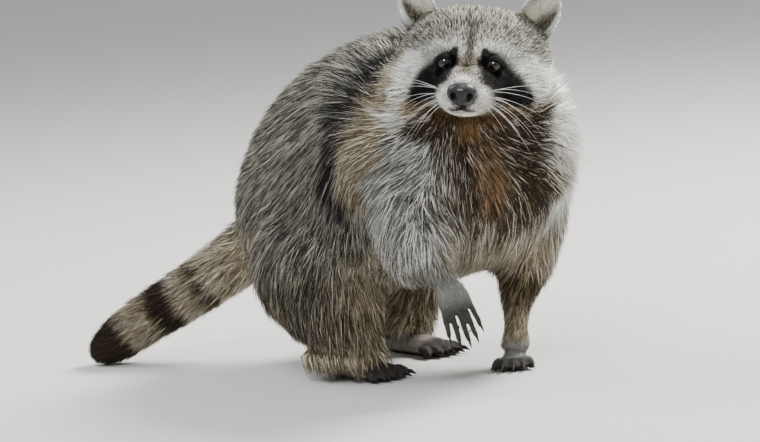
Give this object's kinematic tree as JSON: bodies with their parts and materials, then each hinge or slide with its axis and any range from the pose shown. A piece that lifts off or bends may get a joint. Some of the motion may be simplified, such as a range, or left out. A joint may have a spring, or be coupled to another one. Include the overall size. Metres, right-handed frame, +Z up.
{
  "type": "raccoon",
  "caption": "Life-size still raccoon standing on three feet, right forepaw lifted, head turned to its right and ringed tail trailing.",
  "frame": {"origin": "middle of the animal's box, on the floor that the soles stand on", "axes": "+X forward along the back, +Y to the animal's left, +Z up"},
  "size_m": [0.544, 0.2262, 0.3346],
  "materials": {
    "coat": "long grizzled grey-brown fur",
    "face_coat": "short pale grey fur with a black mask",
    "tail_coat": "thick fur ringed in black and tan",
    "ear_coat": "short fur, pale at the rim",
    "foot_coat": "very short dark fur over bare black toes and soles",
    "nose_skin": "moist, finely pebbled",
    "eye": "wet and glossy, dark brown to black",
    "claw": "dark horn"
  },
  "bodies": {
    "root": {"claw_forepaw_left_1": "claw", "claw_forepaw_left_2": "claw", "claw_forepaw_left_3": "claw", "claw_forepaw_left_4": "claw", "claw_forepaw_left_5": "claw", "claw_forepaw_right_1": "claw", "claw_forepaw_right_2": "claw", "claw_forepaw_right_3": "claw", "claw_forepaw_right_4": "claw", "claw_forepaw_right_5": "claw", "claw_hindfoot_left_1": "claw", "claw_hindfoot_left_2": "claw", "claw_hindfoot_left_3": "claw", "claw_hindfoot_left_4": "claw", "claw_hindfoot_left_5": "claw", "claw_hindfoot_right_1": "claw", "claw_hindfoot_right_2": "claw", "claw_hindfoot_right_3": "claw", "claw_hindfoot_right_4": "claw", "claw_hindfoot_right_5": "claw", "ear_left": "ear_coat", "ear_right": "ear_coat", "eye_left": "eye", "eye_right": "eye", "forearm_left": "coat", "forearm_right": "coat", "forepaw_left": "foot_coat", "forepaw_right": "foot_coat", "head": "face_coat", "hindfoot_left": "foot_coat", "hindfoot_right": "foot_coat", "neck": "coat", "nose": "nose_skin", "shank_left": "coat", "shank_right": "coat", "tail_middle": "tail_coat", "tail_root": "tail_coat", "tail_tip": "tail_coat", "thigh_left": "coat", "thigh_right": "coat", "trunk_front": "coat", "trunk_rear": "coat", "upper_arm_left": "coat", "upper_arm_right": "coat"}
  },
  "joints": []
}
